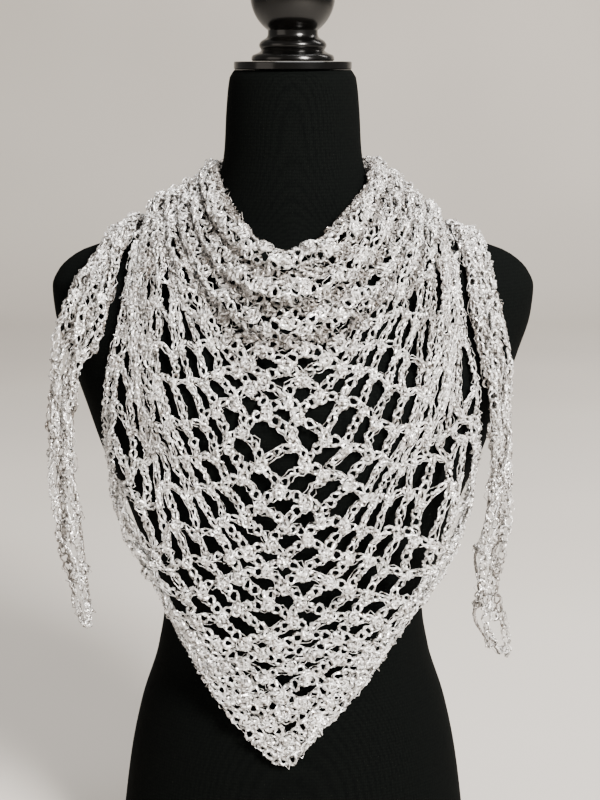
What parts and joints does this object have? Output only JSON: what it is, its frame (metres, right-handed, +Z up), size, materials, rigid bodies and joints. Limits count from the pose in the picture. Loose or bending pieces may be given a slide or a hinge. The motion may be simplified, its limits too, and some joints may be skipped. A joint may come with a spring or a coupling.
{
  "type": "triangle scarf on a dress form",
  "caption": "Open chain-mesh triangle scarf worn point down on a black dress form, gathered over the shoulders, its ends crossed behind the neck and hanging in front.",
  "frame": {"origin": "middle of the dress form's flat foot, where it stands", "axes": "+Z up along the form, front of the form and of the scarf towards -Y, +X to the viewer's right"},
  "size_m": [0.412, 0.2309, 0.7946],
  "materials": {
    "silver_yarn": "glittering silver-white ribbon yarn, crocheted into open chain mesh",
    "form_jersey": "matt black jersey stretched over the form",
    "lacquer": "turned wood in black gloss lacquer"
  },
  "bodies": {
    "root": {"dress_form": "form_jersey", "neck_cap": "lacquer", "finial": "lacquer", "scarf_front": "silver_yarn", "scarf_nape_under": "silver_yarn", "scarf_nape_over": "silver_yarn", "scarf_tail_left": "silver_yarn", "scarf_tail_right": "silver_yarn"}
  },
  "joints": []
}
